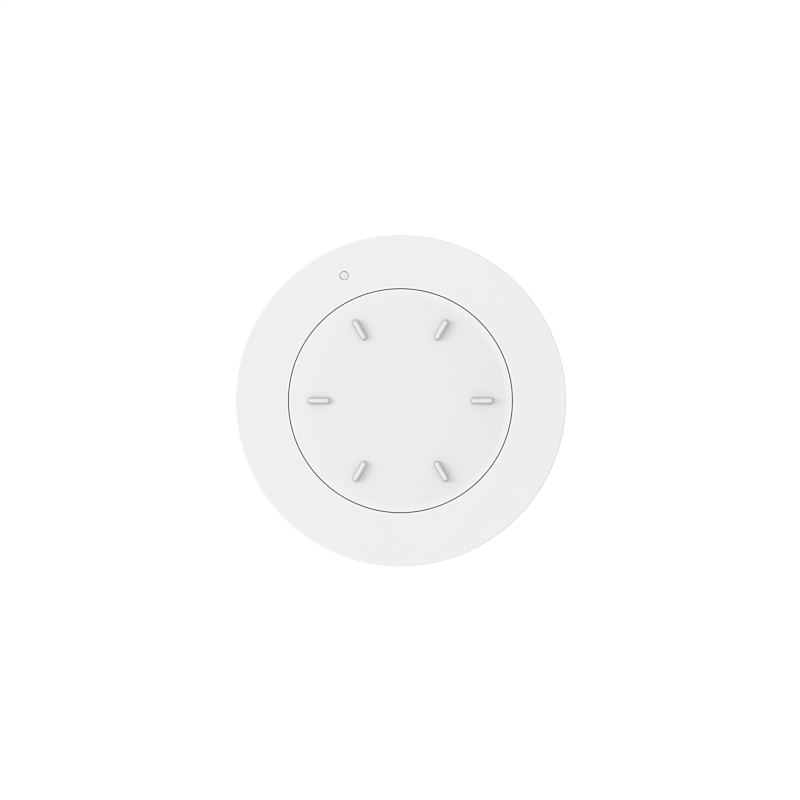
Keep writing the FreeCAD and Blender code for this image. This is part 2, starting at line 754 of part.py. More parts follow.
# Radio module: a small board with a metal can over its chip and a bare aerial track
radio_module_board = block("radio_module_board", "module_across", "module_up", "board_front",
                           "module_width", "module_length", "module_thickness")
shield_middle = "module_up - module_length / 2 + shield_margin + shield_length / 2"
radio_shield = body("radio_shield")
pad(radio_shield, "can", "module_front", "module_front + shield_height",
    box("module_across", shield_middle, "module_width - 2 * shield_margin", "shield_length"))
pocket(radio_shield, "can_inside", "module_front", "module_front + shield_height - shield_wall",
       box("module_across", shield_middle, "module_width - 2 * shield_margin - 2 * shield_wall",
           "shield_length - 2 * shield_wall"))
antenna_trace = body("antenna_trace")
trace_left, trace_top = "module_across - trace_length / 2", "module_up + module_length / 2 - trace_width"
trace_low = trace_top + " - trace_height"
pad(antenna_trace, "copper", "module_front", "module_front + trace_thickness", polygon([
    (trace_left, trace_top), (trace_left, trace_low), (trace_left + " + trace_width", trace_low),
    (trace_left + " + trace_width", trace_top + " - trace_width"),
    (trace_left + " + trace_feed", trace_top + " - trace_width"),
    (trace_left + " + trace_feed", trace_low), (trace_left + " + trace_feed + trace_width", trace_low),
    (trace_left + " + trace_feed + trace_width", trace_top + " - trace_width"),
    (trace_left + " + trace_length", trace_top + " - trace_width"),
    (trace_left + " + trace_length", trace_top)]))

# Small parts on the board: the controller, its crystal, a memory chip, capacitors and resistors,
# each given as x, y, width, depth and height
CHIPS = [
    ("-13", "10", "5", "5", "0.85"), ("-19", "12", "2.5", "3.2", "0.7"),
    ("-13", "17.5", "4", "4.9", "1.2"), ("-6.5", "13", "1.6", "0.8", "0.8"),
    ("-6.5", "15", "1.6", "0.8", "0.8"), ("-8", "21", "2", "1.25", "0.9"),
    ("-18", "4", "1.6", "0.8", "0.5"), ("-18", "6", "1.6", "0.8", "0.5"),
    ("-12", "-3", "2", "1.25", "0.9"), ("13", "0", "3.2", "1.6", "1.2"),
    ("13", "4", "2", "1.25", "0.9"), ("17", "3", "1.6", "0.8", "0.5"),
]
chip_components = doc.addObject("Part::Compound", "chip_components")
chip_components.Links = [block("chip", x, y, "board_front", width, depth, height)
                         for x, y, width, depth, height in CHIPS]

# Status light: the lamp on the board, and a clear rod whose end is the lens in the ring
status_led = block("status_led", "lens_across", "lens_up", "board_front",
                   "led_length", "led_width", "led_height")
light_guide = body("light_guide")
pad(light_guide, "rod", "led_top + light_gap", "cover_top - lens_recess",
    circle("lens_across", "lens_up", "lens_radius"))
pad(light_guide, "flange", "ceiling - lens_flange_height", "ceiling",
    circle("lens_across", "lens_up", "lens_flange"))

# Magnets that hold the housing on the plate
magnets = body("magnets", loose=True)
pad(magnets, "magnet_discs", "magnet_back", "magnet_front",
    *around("magnet_place", magnet_angles, "magnet_radius"))

# Coin cell and the two sprung contacts that stand on the board beside its well
coin_cell = body("coin_cell")
pad(coin_cell, "cell_can", "cell_back", "cell_front - cell_cap_height",
    circle("0", "cell_drop", "cell_radius"))
pad(coin_cell, "cell_cap", "cell_front - cell_cap_height", "cell_front",
    circle("0", "cell_drop", "cell_cap_radius"))
foot_top = "board_front + leaf_thickness"
battery_contact_positive = body("battery_contact_positive")
side_low = "cell_front - leaf_rise"
bent_strip(battery_contact_positive, "side_leaf", [
    ("-foot_start - leaf_foot", "board_front"), ("-foot_start", "board_front"), ("-foot_start", side_low),
    ("-leaf_tip - leaf_thickness - leaf_slant", side_low),
    ("-leaf_tip - leaf_thickness", "board_front - leaf_drop"), ("-leaf_tip", "board_front - leaf_drop"),
    ("-leaf_tip - leaf_slant", side_low + " + leaf_thickness"),
    ("-foot_start - leaf_thickness", side_low + " + leaf_thickness"),
    ("-foot_start - leaf_thickness", foot_top), ("-foot_start - leaf_foot", foot_top)],
    "leaf_width", "cell_drop")
top_low, dip = "cell_front + leaf_rise", "cell_front + leaf_gap"
battery_contact_negative = body("battery_contact_negative")
bent_strip(battery_contact_negative, "top_leaf", [
    ("foot_start + leaf_foot", "board_front"), ("foot_start", "board_front"), ("foot_start", top_low),
    ("leaf_dip", top_low), ("leaf_dip / 3", dip), ("-leaf_dip / 3", dip), ("-leaf_dip", top_low),
    ("-leaf_dip", top_low + " + leaf_thickness"), ("-leaf_dip / 3", dip + " + leaf_thickness"),
    ("leaf_dip / 3", dip + " + leaf_thickness"), ("leaf_dip", top_low + " + leaf_thickness"),
    ("foot_start + leaf_thickness", top_low + " + leaf_thickness"),
    ("foot_start + leaf_thickness", foot_top), ("foot_start + leaf_foot", foot_top)],
    "leaf_width", "cell_drop")

# Battery door: a disc with three bayonet wings and a slot for a coin, on a soft seal
battery_door = body("battery_door")
pad(battery_door, "door_disc", "floor_back", "door_front", circle("0", "cell_drop", "door_radius"))
pad(battery_door, "wings", "bayonet_back", "door_front",
    *bayonet_sectors("door_radius - seal_seat", "bayonet_radius", "0", "bayonet_sweep"))
pocket(battery_door, "coin_slot", "floor_back", "floor_back + coin_slot_depth",
       stadium("0", "cell_drop", "coin_slot_length", "coin_slot_radius"))
door_seal = body("door_seal")
pad(door_seal, "seal_ring", "door_front", "door_front + seal_thickness",
    circle("0", "cell_drop", "door_radius - seal_gap"), circle("0", "cell_drop", "well_inside + seal_gap"))

# Encoder body: a moulded base, a pressed metal can over it, and a bushing for the shaft
encoder_base = body("encoder_base")
pad(encoder_base, "base", "board_front", "base_front", box("0", "0", "encoder_width", "encoder_width"))
pocket(encoder_base, "cavity", "cavity_back", "base_front", circle("0", "0", "cavity_radius"))
encoder_cover = body("encoder_cover")
pad(encoder_cover, "encoder_can", "base_front", "can_front",
    box("0", "0", "encoder_width", "encoder_width"))
can_room = "encoder_width - 2 * encoder_can_wall"
pocket(encoder_cover, "encoder_can_inside", "base_front", "bushing_seat", box("0", "0", can_room, can_room))
pocket(encoder_cover, "bushing_hole", "bushing_seat", "can_front",
       circle("0", "0", "bushing_radius + shaft_fit"))
for name, side in (("upper_leg", ""), ("lower_leg", "-")):
    pad(encoder_cover, name, "board_front", "bushing_back",
        box("0", side + "(encoder_width + encoder_can_wall) / 2", "encoder_leg_width", "encoder_can_wall"))
encoder_bushing = body("encoder_bushing")
bushing_bore = "shaft_radius + shaft_fit"
turned(encoder_bushing, "bushing", [
    (bushing_bore, "bushing_back"), ("bushing_flange", "bushing_back"),
    ("bushing_flange", "bushing_seat"), ("bushing_radius", "bushing_seat"),
    ("bushing_radius", "bushing_front"), (bushing_bore, "bushing_front")])

# Solder feet of the encoder: three for the turn signals and two for the switch
encoder_terminals = body("encoder_terminals", loose=True)
foot_middle = "(encoder_width + terminal_length) / 2"
feet = [box(foot_middle, "%d * terminal_pitch" % step, "terminal_length", "terminal_width")
        for step in (-1, 0, 1)]
feet += [box("-" + foot_middle, "%d * terminal_pitch" % step, "terminal_length", "terminal_width")
         for step in (-1, 1)]
pad(encoder_terminals, "solder_feet", "board_front", foot_top, *feet)

# Leaf spring with a bump that clicks in the rotor's notches
encoder_detent_spring = body("encoder_detent_spring")
pad(encoder_detent_spring, "detent_strip", "rotor_back + detent_gap", "rotor_front - detent_gap",
    box("0", "leaf_place + detent_leaf / 2", can_room + " - detent_gap", "detent_leaf"))
pad(encoder_detent_spring, "detent_neck", "rotor_back + detent_gap", "rotor_front - detent_gap",
    box("0", "(notch_place + leaf_place) / 2", "2 * bump_radius", "leaf_place - notch_place"))
pad(encoder_detent_spring, "detent_bump", "rotor_back + detent_gap", "rotor_front - detent_gap",
    circle("0", "notch_place", "bump_radius"))

# Snap dome under the shaft, which makes the press switch click and lifts the knob again
switch_dome = body("switch_dome")
turned(switch_dome, "snap_dome", [
    ("0", "click_top"), ("click_radius", "cavity_back"), ("click_radius - click_wall", "cavity_back"),
    ("0", "click_top - click_wall")], domes=(0, 2))

# Rotor: a notched wheel that the shaft turns but can slide through, with a sprung wiper under it
encoder_rotor = body("encoder_rotor")
pad(encoder_rotor, "wheel", "rotor_back", "rotor_front", circle("0", "0", "rotor_radius"))
pocket(encoder_rotor, "key_bore", "rotor_back", "rotor_front",
       dee("key_radius + shaft_fit", "key_flat + shaft_fit"))
first_notch = pocket(encoder_rotor, "notch", "rotor_back", "rotor_front",
                     circle("0", "notch_place", "notch_radius"))
repeated(encoder_rotor, "notches", "rotor_notches", first_notch)
encoder_wiper = body("encoder_wiper")
wiper_outer = "notch_place - notch_radius - detent_gap"
wiper_middle = wiper_outer + " - wiper_width / 2"
pad(encoder_wiper, "wiper_ring", "rotor_back - wiper_thickness", "rotor_back",
    circle("0", "0", wiper_outer), circle("0", "0", wiper_outer + " - wiper_width"))
pocket(encoder_wiper, "wiper_slots", "rotor_back - wiper_thickness", "rotor_back",
       *[sector("0", wiper_middle + " - wiper_slit / 2", wiper_middle + " + wiper_slit / 2",
                angle + " - wiper_slot / 2", angle + " + wiper_slot / 2") for angle in magnet_angles])

# Shaft: a keyed lower end in the rotor, a round part in the bushing, and a flat for the knob
encoder_shaft = body("encoder_shaft")
pad(encoder_shaft, "key", "click_top + click_gap", "shoulder_height", dee("key_radius", "key_flat"))
pad(encoder_shaft, "round_part", "shoulder_height", "hub_back", circle("0", "0", "shaft_radius"))
pad(encoder_shaft, "flat_part", "hub_back", "shaft_top", dee("shaft_radius", "shaft_flat"))

# Knob cap: a shallow dome with a flat rim, six finger ridges and a skirt in the cover's well
knob_cap = body("knob_cap")
cap_inside = "knob_radius - cap_skirt_wall"
turned(knob_cap, "cap", [
    ("0", "dome_top"), ("dome_radius", "cover_top"), ("knob_radius", "cover_top"),
    ("knob_radius", "cap_skirt_back"), (cap_inside, "cap_skirt_back"), (cap_inside, "carrier_front"),
    ("dome_radius - cap_wall", "carrier_front"), ("0", "dome_top - cap_wall")], domes=(0, 6))
rounded(knob_cap, "cap_rim", "cap_edge", ring_edge("knob_radius", "cover_top"))
first_fin = pad(knob_cap, "fin", "cover_top", "fin_top",
                stadium("fin_place", "0", "fin_length", "fin_width / 2"), draft="fin_draft")
repeated(knob_cap, "fins", "fin_count", first_fin)
rounded(knob_cap, "fin_edges", "fin_edge", level_edge("fin_top"))
stake_angles = spaced("stake_count", "stake_start")
pad(knob_cap, "stakes", "carrier_back", "carrier_front + stake_root",
    *around("stake_place", stake_angles, "stake_radius"))
pad(knob_cap, "stake_heads", "carrier_back - stake_head_height", "carrier_back",
    *around("stake_place", stake_angles, "stake_head"))

# Carrier: a disc staked under the cap, with a hub on the shaft and a skirt around the frame's ring
knob_carrier = body("knob_carrier")
guide_inside = "guide_radius + guide_fit"
pad(knob_carrier, "carrier_disc", "carrier_back", "carrier_front", circle("0", "0", "carrier_radius"))
pad(knob_carrier, "hub", "hub_back", "hub_front", circle("0", "0", "hub_radius"))
pad(knob_carrier, "guide_skirt", "guide_skirt_back", "carrier_back",
    circle("0", "0", guide_inside + " + guide_wall"), circle("0", "0", guide_inside))
pocket(knob_carrier, "shaft_bore", "hub_back", "shaft_top",
       dee("shaft_radius + shaft_fit", "shaft_flat + shaft_fit"))
pocket(knob_carrier, "stake_holes", "carrier_back", "carrier_front",
       *around("stake_place", stake_angles, "stake_radius + stake_fit"))

doc.recompute()

# Every object must have been made, every cut must cut something, and every sub-part must be sound
SUB_PARTS = [
    wall_plate, adhesive_pads, keeper_discs, rear_housing, front_cover, inner_frame, frame_screws,
    circuit_board, radio_module_board, radio_shield, antenna_trace, chip_components, status_led,
    light_guide, magnets, coin_cell, battery_contact_positive, battery_contact_negative, battery_door,
    door_seal, encoder_base, encoder_cover, encoder_bushing, encoder_terminals, encoder_detent_spring,
    switch_dome, encoder_rotor, encoder_wiper, encoder_shaft, knob_cap, knob_carrier,
]
for item in doc.Objects:
    if "Invalid" in item.State or "Error" in item.State:
        raise SystemExit("%s could not be made: %s" % (item.Label, item.State))
    base = getattr(item, "BaseFeature", None)
    if base is not None and abs(item.Shape.Volume - base.Shape.Volume) < SAME_VOLUME:
        raise SystemExit("%s changes nothing" % item.Label)
for piece in SUB_PARTS:
    if piece.Shape.isNull() or not piece.Shape.isValid():
        raise SystemExit("%s is not a sound solid" % piece.Label)
for piece in SUB_PARTS:
    piece.Shape.exportStep("parts/%s.step" % piece.Label)
    print("%-26s %d solids %10.2f mm3" % (piece.Label, len(piece.Shape.Solids), piece.Shape.Volume))
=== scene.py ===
import json
import math

import bmesh
import bpy
from mathutils import Matrix, Vector

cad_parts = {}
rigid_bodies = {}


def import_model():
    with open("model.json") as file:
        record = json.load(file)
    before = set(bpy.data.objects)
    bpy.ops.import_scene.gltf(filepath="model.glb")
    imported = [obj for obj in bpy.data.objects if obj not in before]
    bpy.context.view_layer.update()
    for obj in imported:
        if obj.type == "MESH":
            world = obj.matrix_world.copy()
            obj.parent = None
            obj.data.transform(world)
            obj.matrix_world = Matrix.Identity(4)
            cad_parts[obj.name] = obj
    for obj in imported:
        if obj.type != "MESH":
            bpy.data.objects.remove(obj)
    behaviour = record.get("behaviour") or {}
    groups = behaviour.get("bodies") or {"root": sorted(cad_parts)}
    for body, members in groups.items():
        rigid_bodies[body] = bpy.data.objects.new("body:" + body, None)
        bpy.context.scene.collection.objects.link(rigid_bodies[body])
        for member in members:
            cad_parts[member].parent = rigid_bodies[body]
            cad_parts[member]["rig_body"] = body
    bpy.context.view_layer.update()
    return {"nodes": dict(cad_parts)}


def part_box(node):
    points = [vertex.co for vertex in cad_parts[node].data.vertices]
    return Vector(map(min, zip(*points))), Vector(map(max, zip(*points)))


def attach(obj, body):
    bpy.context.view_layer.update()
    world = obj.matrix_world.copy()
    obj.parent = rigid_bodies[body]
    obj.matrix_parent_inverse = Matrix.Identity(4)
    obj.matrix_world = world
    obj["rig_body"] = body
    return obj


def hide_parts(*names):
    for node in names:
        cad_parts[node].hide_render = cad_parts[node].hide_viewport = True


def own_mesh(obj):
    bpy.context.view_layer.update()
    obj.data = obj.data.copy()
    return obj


# Wireless rotary dimmer switch on a wall, dressed piece by piece from the wall outwards. Lengths are
# in millimetres and turned into metres when a piece is finished; the wall is the plane z = 0, and the
# knob turns about the line x = y = 0.
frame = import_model()
mm = 0.001


# Wall plate: the flat moulded disc that stays on the wall, with a window over the battery door, two
# sunk screw slots and three tabs that stop the housing from turning. It is white ABS from a
# spark-eroded mould, so its faces are matt and its rounded corners catch a thin line of light.
crease = math.radians(32)    # faces that meet at more than this are shaded apart
weld = 1e-4                  # points closer than this are one


def add(tree, kind, settings=(), **inputs):
    """A shader node with its settings, its values, and its links where a value is a socket."""
    made = tree.nodes.new("ShaderNode" + kind)
    for key, value in dict(settings).items():
        setattr(made, key, value)
    for key, value in inputs.items():
        socket = made.inputs[key.replace("_", " ")]
        if isinstance(value, bpy.types.NodeSocket):
            tree.links.new(value, socket)
        else:
            socket.default_value = value
    return made


def material(name, roughness, metallic=0.0, **values):
    """A new material, with its node tree, its shader and its Object coordinates."""
    made = bpy.data.materials.new(name)
    made.use_nodes = True
    tree = made.node_tree
    shader = tree.nodes["Principled BSDF"]
    for key, value in dict(values, Roughness=roughness, Metallic=metallic).items():
        shader.inputs[key.replace("_", " ")].default_value = value
    return made, tree, shader, add(tree, "TexCoord").outputs["Object"]


def grey(share):
    """A colour without a hue."""
    return share, share, share


def noise(tree, place, size, detail=2.0):
    """Clouds whose lumps are about size millimetres across."""
    return add(tree, "TexNoise", Vector=place, Scale=1 / (size * mm), Detail=detail).outputs[0]


def voronoi(tree, place, size, output):
    """Cells about size millimetres across."""
    return add(tree, "TexVoronoi", Vector=place, Scale=1 / (size * mm)).outputs[output]


def ramp(tree, factor, first, second):
    """A blend of two colours along a factor, each given as its place and its red, green and blue."""
    made = add(tree, "ValToRGB", Fac=factor)
    for mark, (where, *colour) in zip(made.color_ramp.elements, (first, second)):
        mark.position = where
        mark.color = (*colour, 1)
    return made.outputs["Color"]


def clouds(tree, place, size, dark, light, detail=2.0):
    """A colour that wanders between two others."""
    return ramp(tree, noise(tree, place, size, detail), (0.3, *dark), (0.7, *light))


def spread(tree, value, low, high, start=0.3, end=0.7):
    """Turns a factor between start and end into a number between low and high."""
    return add(tree, "MapRange", Value=value, From_Min=start, From_Max=end,
               To_Min=low, To_Max=high).outputs[0]


def fade(tree, value, start, end):
    """A factor that climbs softly from 0 to 1 while a length goes from start to end millimetres."""
    return add(tree, "MapRange", {"interpolation_type": "SMOOTHSTEP"}, Value=value,
               From_Min=start * mm, From_Max=end * mm).outputs[0]


def distance(tree, place):
    """How far a place is from the origin of its coordinates."""
    return add(tree, "VectorMath", {"operation": "LENGTH"}, Vector=place).outputs["Value"]


def mixed(tree, factor, under, over, how="MIX"):
    """Lays a plain colour over another by a factor."""
    made = add(tree, "Mix", {"data_type": "RGBA", "blend_type": how}, Factor=factor)
    colour_a, colour_b, result = made.inputs[6], made.inputs[7], made.outputs[2]
    tree.links.new(under, colour_a)
    colour_b.default_value = (*over, 1)
    return result


def paint(tree, shader, colour, gloss=None):
    """Links a colour to a shader, and a roughness where there is one."""
    tree.links.new(colour, shader.inputs["Base Color"])
    if gloss:
        tree.links.new(gloss, shader.inputs["Roughness"])


def bump(tree, shader, height, depth, strength=1.0):
    """Raises a surface by up to depth millimetres where height is 1."""
    made = add(tree, "Bump", Height=height, Distance=depth * mm, Strength=strength)
    tree.links.new(made.outputs["Normal"], shader.inputs["Normal"])


def ring_mask(tree, place, inner, outer, across=0.0, up=0.0, soft=0.08):
    """A factor that is 1 between two radii about an upright axis, and fades over soft millimetres."""
    flat = add(tree, "Mapping", Vector=place, Location=(-across * mm, -up * mm, 0), Scale=(1, 1, 0))
    radius = distance(tree, flat.outputs[0])
    past_inner = fade(tree, radius, inner - soft, inner + soft)
    within_outer = fade(tree, radius, outer + soft, outer - soft)
    both = add(tree, "Math", {"operation": "MULTIPLY"}, Value=past_inner)
    tree.links.new(within_outer, both.inputs[1])
    return both.outputs[0]


def moulded(name, light, dark, roughness, grain=0.12, depth=0.004, bands=(), painted_flank_shade=1.0):
    """Matt moulded plastic: eroded grain, faint clouds of shade, uneven gloss, and rings of another
    shade, each given as that shade and the arguments of ring_mask; the rings carry painted highlights
    and painted shade. Steep faces are darkened to the share painted_flank_shade, as painted shade."""
    made, tree, shader, place = material(name, roughness)
    colour = clouds(tree, place, 22, dark, light, 3)
    for shade, *ring in bands:
        colour = mixed(tree, ring_mask(tree, place, *ring), colour, shade)
    # Painted shade: faces that stand up are made darker than faces that look up.
    if painted_flank_shade < 1:
        upward = add(tree, "SeparateXYZ", Vector=add(tree, "TexCoord").outputs["Normal"]).outputs["Z"]
        steep = spread(tree, upward, 1, 0, 0.25, 0.93)
        colour = mixed(tree, steep, colour, grey(painted_flank_shade), "MULTIPLY")
    paint(tree, shader, colour,
          spread(tree, noise(tree, place, 3), roughness - 0.03, roughness + 0.03))
    bump(tree, shader, noise(tree, place, grain, 1), depth)
    return made


def dress(node, finish):
    """Gives a CAD node, which keeps its shape, a finer finish."""
    for each in frame["nodes"][node].material_slots:
        each.material = finish


def bevel(bm, edges, offset, segments):
    """Rounds edges of a shape in a number of flat steps."""
    bmesh.ops.bevel(bm, geom=edges, offset=offset, segments=segments, profile=0.5, affect="EDGES",
                    material=-1)


def softened(node, corner, done=lambda place: False):
    """A copy of a CAD node, its triangles joined into whole faces, with its corners rounded except
    where done says that the node's own shape is already round."""
    bm = bmesh.new()
    bm.from_mesh(frame["nodes"][node].data)
    bmesh.ops.remove_doubles(bm, verts=bm.verts, dist=weld * mm)
    bmesh.ops.dissolve_limit(bm, angle_limit=math.radians(0.1), verts=bm.verts, edges=bm.edges)
    corners = [edge for edge in bm.edges if edge.calc_face_angle(0) > math.radians(35)
               and not all(done(end.co) for end in edge.verts)]
    bevel(bm, corners, corner * mm, 2)
    bmesh.ops.scale(bm, vec=(1 / mm,) * 3, verts=bm.verts)
    return bm


def as_mesh(name, bm, unit=mm):
    """A mesh in metres from a shape in millimetres, or in its own unit if that is 1."""
    bmesh.ops.scale(bm, vec=(unit,) * 3, verts=bm.verts)
    mesh = bpy.data.meshes.new(name)
    bm.to_mesh(mesh)
    bm.free()
    return mesh


def placed(name, data):
    """A new object in the scene."""
    made = bpy.data.objects.new(name, data)
    bpy.context.scene.collection.objects.link(made)
    return made


def piece(name, bm, finish, node):
    """Finishes a shape in millimetres as the piece that stands for a CAD node."""
    mesh = as_mesh(name, bm)
    mesh.shade_smooth()
    mesh.set_sharp_from_angle(angle=crease)
    mesh.materials.append(finish)
    made = placed(name, mesh)
    made.modifiers.new("even_shading", "WEIGHTED_NORMAL").keep_sharp = True
    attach(made, frame["nodes"][node]["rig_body"])
    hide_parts(node)
    return made


def on_plate_rim(place):
    """True on the plate's front rim, which the CAD has rounded."""
    return place.xy.length > 36.4 * mm and place.z > 1.99 * mm


plate_white = moulded("plate_white", (0.80, 0.80, 0.79), (0.77, 0.77, 0.76), 0.5)
piece("wall_plate_moulding", softened("wall_plate", 0.12, on_plate_rim), plate_white, "wall_plate")

# Foam pads: four die-cut pieces of white closed-cell foam tape, soft and open at the cut edge, with a
# film of glue that shines on the face to the wall. They sit in shallow pockets in the plate.
foam_white, tree, shader, place = material("foam_white", 0.75)
foam_cells = voronoi(tree, place, 0.22, "Distance")
height = add(tree, "SeparateXYZ", Vector=place).outputs["Z"]
paint(tree, shader, ramp(tree, foam_cells, (0.05, 0.86, 0.86, 0.84), (0.8, 0.74, 0.74, 0.72)),
      spread(tree, height, 0.35, 0.8, 0.02 * mm, 0.06 * mm))
bump(tree, shader, foam_cells, 0.05, 0.6)

pad_thickness, pad_corner = 1.0, 1.6


def bent(edge):
    """True for an edge where two faces of a shape meet at a corner, at more than a radian."""
    return edge.calc_face_angle(0) > 1


def swing(bm, points, degrees):
    """Turns points of a shape about the knob's axis."""
    matrix = Matrix.Rotation(math.radians(degrees), 3, "Z")
    bmesh.ops.rotate(bm, verts=points, cent=(0, 0, 0), matrix=matrix)


def foam_pad(inner, outer, start, end):
    """One pad between two radii and two angles: an upright oblong swung round the middle of the
    plate, its four corners cut round."""
    bm = bmesh.new()
    points = [(inner, 0), (outer, 0), (outer, pad_thickness), (inner, pad_thickness)]
    bm.faces.new([bm.verts.new((radius, 0, z)) for radius, z in points])
    swing(bm, bm.verts, start)
    steps = round((end - start) / 3)
    bmesh.ops.spin(bm, geom=bm.verts[:] + bm.edges[:] + bm.faces[:], cent=(0, 0, 0), axis=(0, 0, 1),
                   angle=math.radians(end - start), steps=steps)
    bmesh.ops.remove_doubles(bm, verts=bm.verts, dist=weld)
    bmesh.ops.recalc_face_normals(bm, faces=bm.faces)
    upright = [edge for edge in bm.edges
               if abs(edge.verts[0].co.z - edge.verts[1].co.z) > pad_thickness / 2 and bent(edge)]
    bevel(bm, upright, pad_corner, 5)
    bmesh.ops.remove_doubles(bm, verts=bm.verts, dist=10 * weld)
    return bm


def gathered(parts):
    """Several shapes as one."""
    whole = bmesh.new()
    for part in parts:
        mesh = as_mesh("part", part, 1)
        whole.from_mesh(mesh)
        bpy.data.meshes.remove(mesh)
    return whole


pads = gathered([foam_pad(20.0, 33.0, 20, 80), foam_pad(20.0, 33.0, 100, 160),
                 foam_pad(22.0, 33.0, 312, 342), foam_pad(22.0, 33.0, 198, 228)])
piece("foam_pads", pads, foam_white, "adhesive_pads")

# Steel discs: three blanks punched from zinc-plated sheet and pressed into the plate, opposite the
# magnets. The plating is dull and cloudy, and the punch leaves a small round on the edges.
zinc, tree, shader, place = material("zinc_plate", 0.35, 1.0)
tone = add(tree, "SeparateColor", Color=voronoi(tree, place, 1.3, "Color")).outputs[0]
paint(tree, shader, ramp(tree, tone, (0.0, 0.54, 0.55, 0.56), (1.0, 0.60, 0.60, 0.59)),
      spread(tree, noise(tree, place, 0.8), 0.28, 0.46))
bump(tree, shader, noise(tree, place, 0.25), 0.004)

disc_radius, disc_reach, disc_turns = 4.0, 30.0, (90, 210, 330)


def discs(bottom, top, round_off):
    """Three flat discs round the middle, each with both its edges rounded."""
    bm = bmesh.new()
    for turn in disc_turns:
        angle = math.radians(turn)
        middle = (disc_reach * math.cos(angle), disc_reach * math.sin(angle), (bottom + top) / 2)
        bmesh.ops.create_cone(bm, cap_ends=True, segments=64, radius1=disc_radius, radius2=disc_radius,
                              depth=top - bottom, matrix=Matrix.Translation(middle))
    bevel(bm, [edge for edge in bm.edges if bent(edge)], round_off, 3)
    return bm


piece("steel_discs", discs(1.5, 2.3, 0.12), zinc, "keeper_discs")

# Rear housing: the round tray that carries everything behind the knob. It is the same white ABS as
# the plate, and its outer wall runs down around the plate so that only a shadow shows at the wall.
housing_white = moulded("housing_white", (0.79, 0.79, 0.78), (0.76, 0.76, 0.75), 0.48)
dress("rear_housing", housing_white)

# Battery door: a white moulded disc with three bayonet wings, turned by a coin in its slot. Its
# face is a little glossier than the tray.
door_white = moulded("door_white", (0.78, 0.78, 0.77), (0.75, 0.75, 0.74), 0.42)
piece("battery_door_moulding", softened("battery_door", 0.12), door_white, "battery_door")

# Door seal: a thin flat ring of black silicone that lies under the door's edge and is squeezed as the
# wings draw the door in.
silicone, tree, shader, place = material("black_silicone", 0.6)
paint(tree, shader, clouds(tree, place, 0.6, grey(0.02), grey(0.035)))
bump(tree, shader, noise(tree, place, 0.1), 0.004)
dress("door_seal", silicone)

# Magnets: three nickel-plated discs pressed into rings on the tray's floor. Nickel is bright and
# slightly warm, with fine scratches from tumbling.
nickel, tree, shader, place = material("nickel_plate", 0.18, 1.0)
paint(tree, shader, clouds(tree, place, 5, (0.62, 0.60, 0.57), (0.70, 0.68, 0.65)),
      spread(tree, noise(tree, place, 0.5, 6), 0.12, 0.30))
piece("magnet_discs", discs(3.0, 4.5, 0.25), nickel, "magnets")

# Circuit board: green solder mask over glass laminate, with lines of copper under the mask and bare
# tinned via holes. It is cut round to clear the battery's well.
mask_green, tree, shader, place = material("solder_mask", 0.3)
tracks = add(tree, "TexBrick", {"offset": 0.37}, Vector=place, Scale=1 / (3.1 * mm), Mortar_Size=0.07,
             Mortar_Smooth=0.1, Brick_Width=0.9, Row_Height=0.33).outputs["Fac"]
board_green = ramp(tree, tracks, (0.0, 0.012, 0.085, 0.035), (1.0, 0.03, 0.17, 0.07))
vias = spread(tree, voronoi(tree, place, 4.2, "Distance"), 1, 0, 0.07, 0.085)
paint(tree, shader, mixed(tree, vias, board_green, (0.65, 0.65, 0.62)))
bump(tree, shader, tracks, 0.03, 0.5)
dress("circuit_board", mask_green)

# Radio module: a small dark blue board soldered on edge pads, its can of tinned sheet, and its
# aerial, a bare gilt track. The encoder's can is folded from the same tinned sheet.
mask_blue = moulded("module_mask", (0.022, 0.035, 0.10), (0.012, 0.02, 0.07), 0.3, 0.4, 0.002)
dress("radio_module_board", mask_blue)
tin, tree, shader, place = material("tinned_sheet", 0.28, 1.0)
rolled = add(tree, "Mapping", Vector=place, Scale=(1, 0.05, 1)).outputs[0]
paint(tree, shader, clouds(tree, rolled, 0.25, (0.63, 0.63, 0.63), (0.75, 0.75, 0.74), 4),
      spread(tree, noise(tree, rolled, 0.25, 4), 0.2, 0.36))
dress("radio_shield", tin)
dress("encoder_cover", tin)
gilt, tree, shader, place = material("gilt_copper", 0.25, 1.0)
paint(tree, shader, clouds(tree, place, 0.7, (0.80, 0.55, 0.22), (0.90, 0.66, 0.30)))
dress("antenna_trace", gilt)
dress("encoder_terminals", gilt)

# Small parts on the board: chips and their smaller neighbours, all in black moulded resin.
chip_black = moulded("chip_resin", (0.03, 0.03, 0.03), (0.018, 0.018, 0.018), 0.55, 0.06, 0.004)
dress("chip_components", chip_black)

# Status lamp: a tiny lamp in milky resin, soldered to the board straight under the light guide.
lamp_resin, tree, shader, place = material("lamp_resin", 0.2, Transmission_Weight=0.3)
paint(tree, shader, clouds(tree, place, 0.3, (0.75, 0.72, 0.55), (0.85, 0.83, 0.70)))
dress("status_led", lamp_resin)

# Coin cell: a pressed steel can with a smaller cap crimped into it. Both are stainless steel with a
# turned brush mark.
cell_up, cell_radius, cell_back, can_front, cap_radius, cap_front = -19.5, 10.0, 3.75, 6.70, 8.6, 6.95
bright_steel, tree, shader, place = material("cell_steel", 0.25, 1.0)
centred = add(tree, "Mapping", Vector=place, Location=(0, -cell_up * mm, 0)).outputs[0]
brushed = add(tree, "TexNoise", {"noise_dimensions": "1D"}, W=distance(tree, centred),
              Scale=1 / (0.12 * mm)).outputs[0]
paint(tree, shader, ramp(tree, brushed, (0.3, 0.60, 0.60, 0.59), (0.7, 0.72, 0.72, 0.71)),
      spread(tree, brushed, 0.18, 0.34))


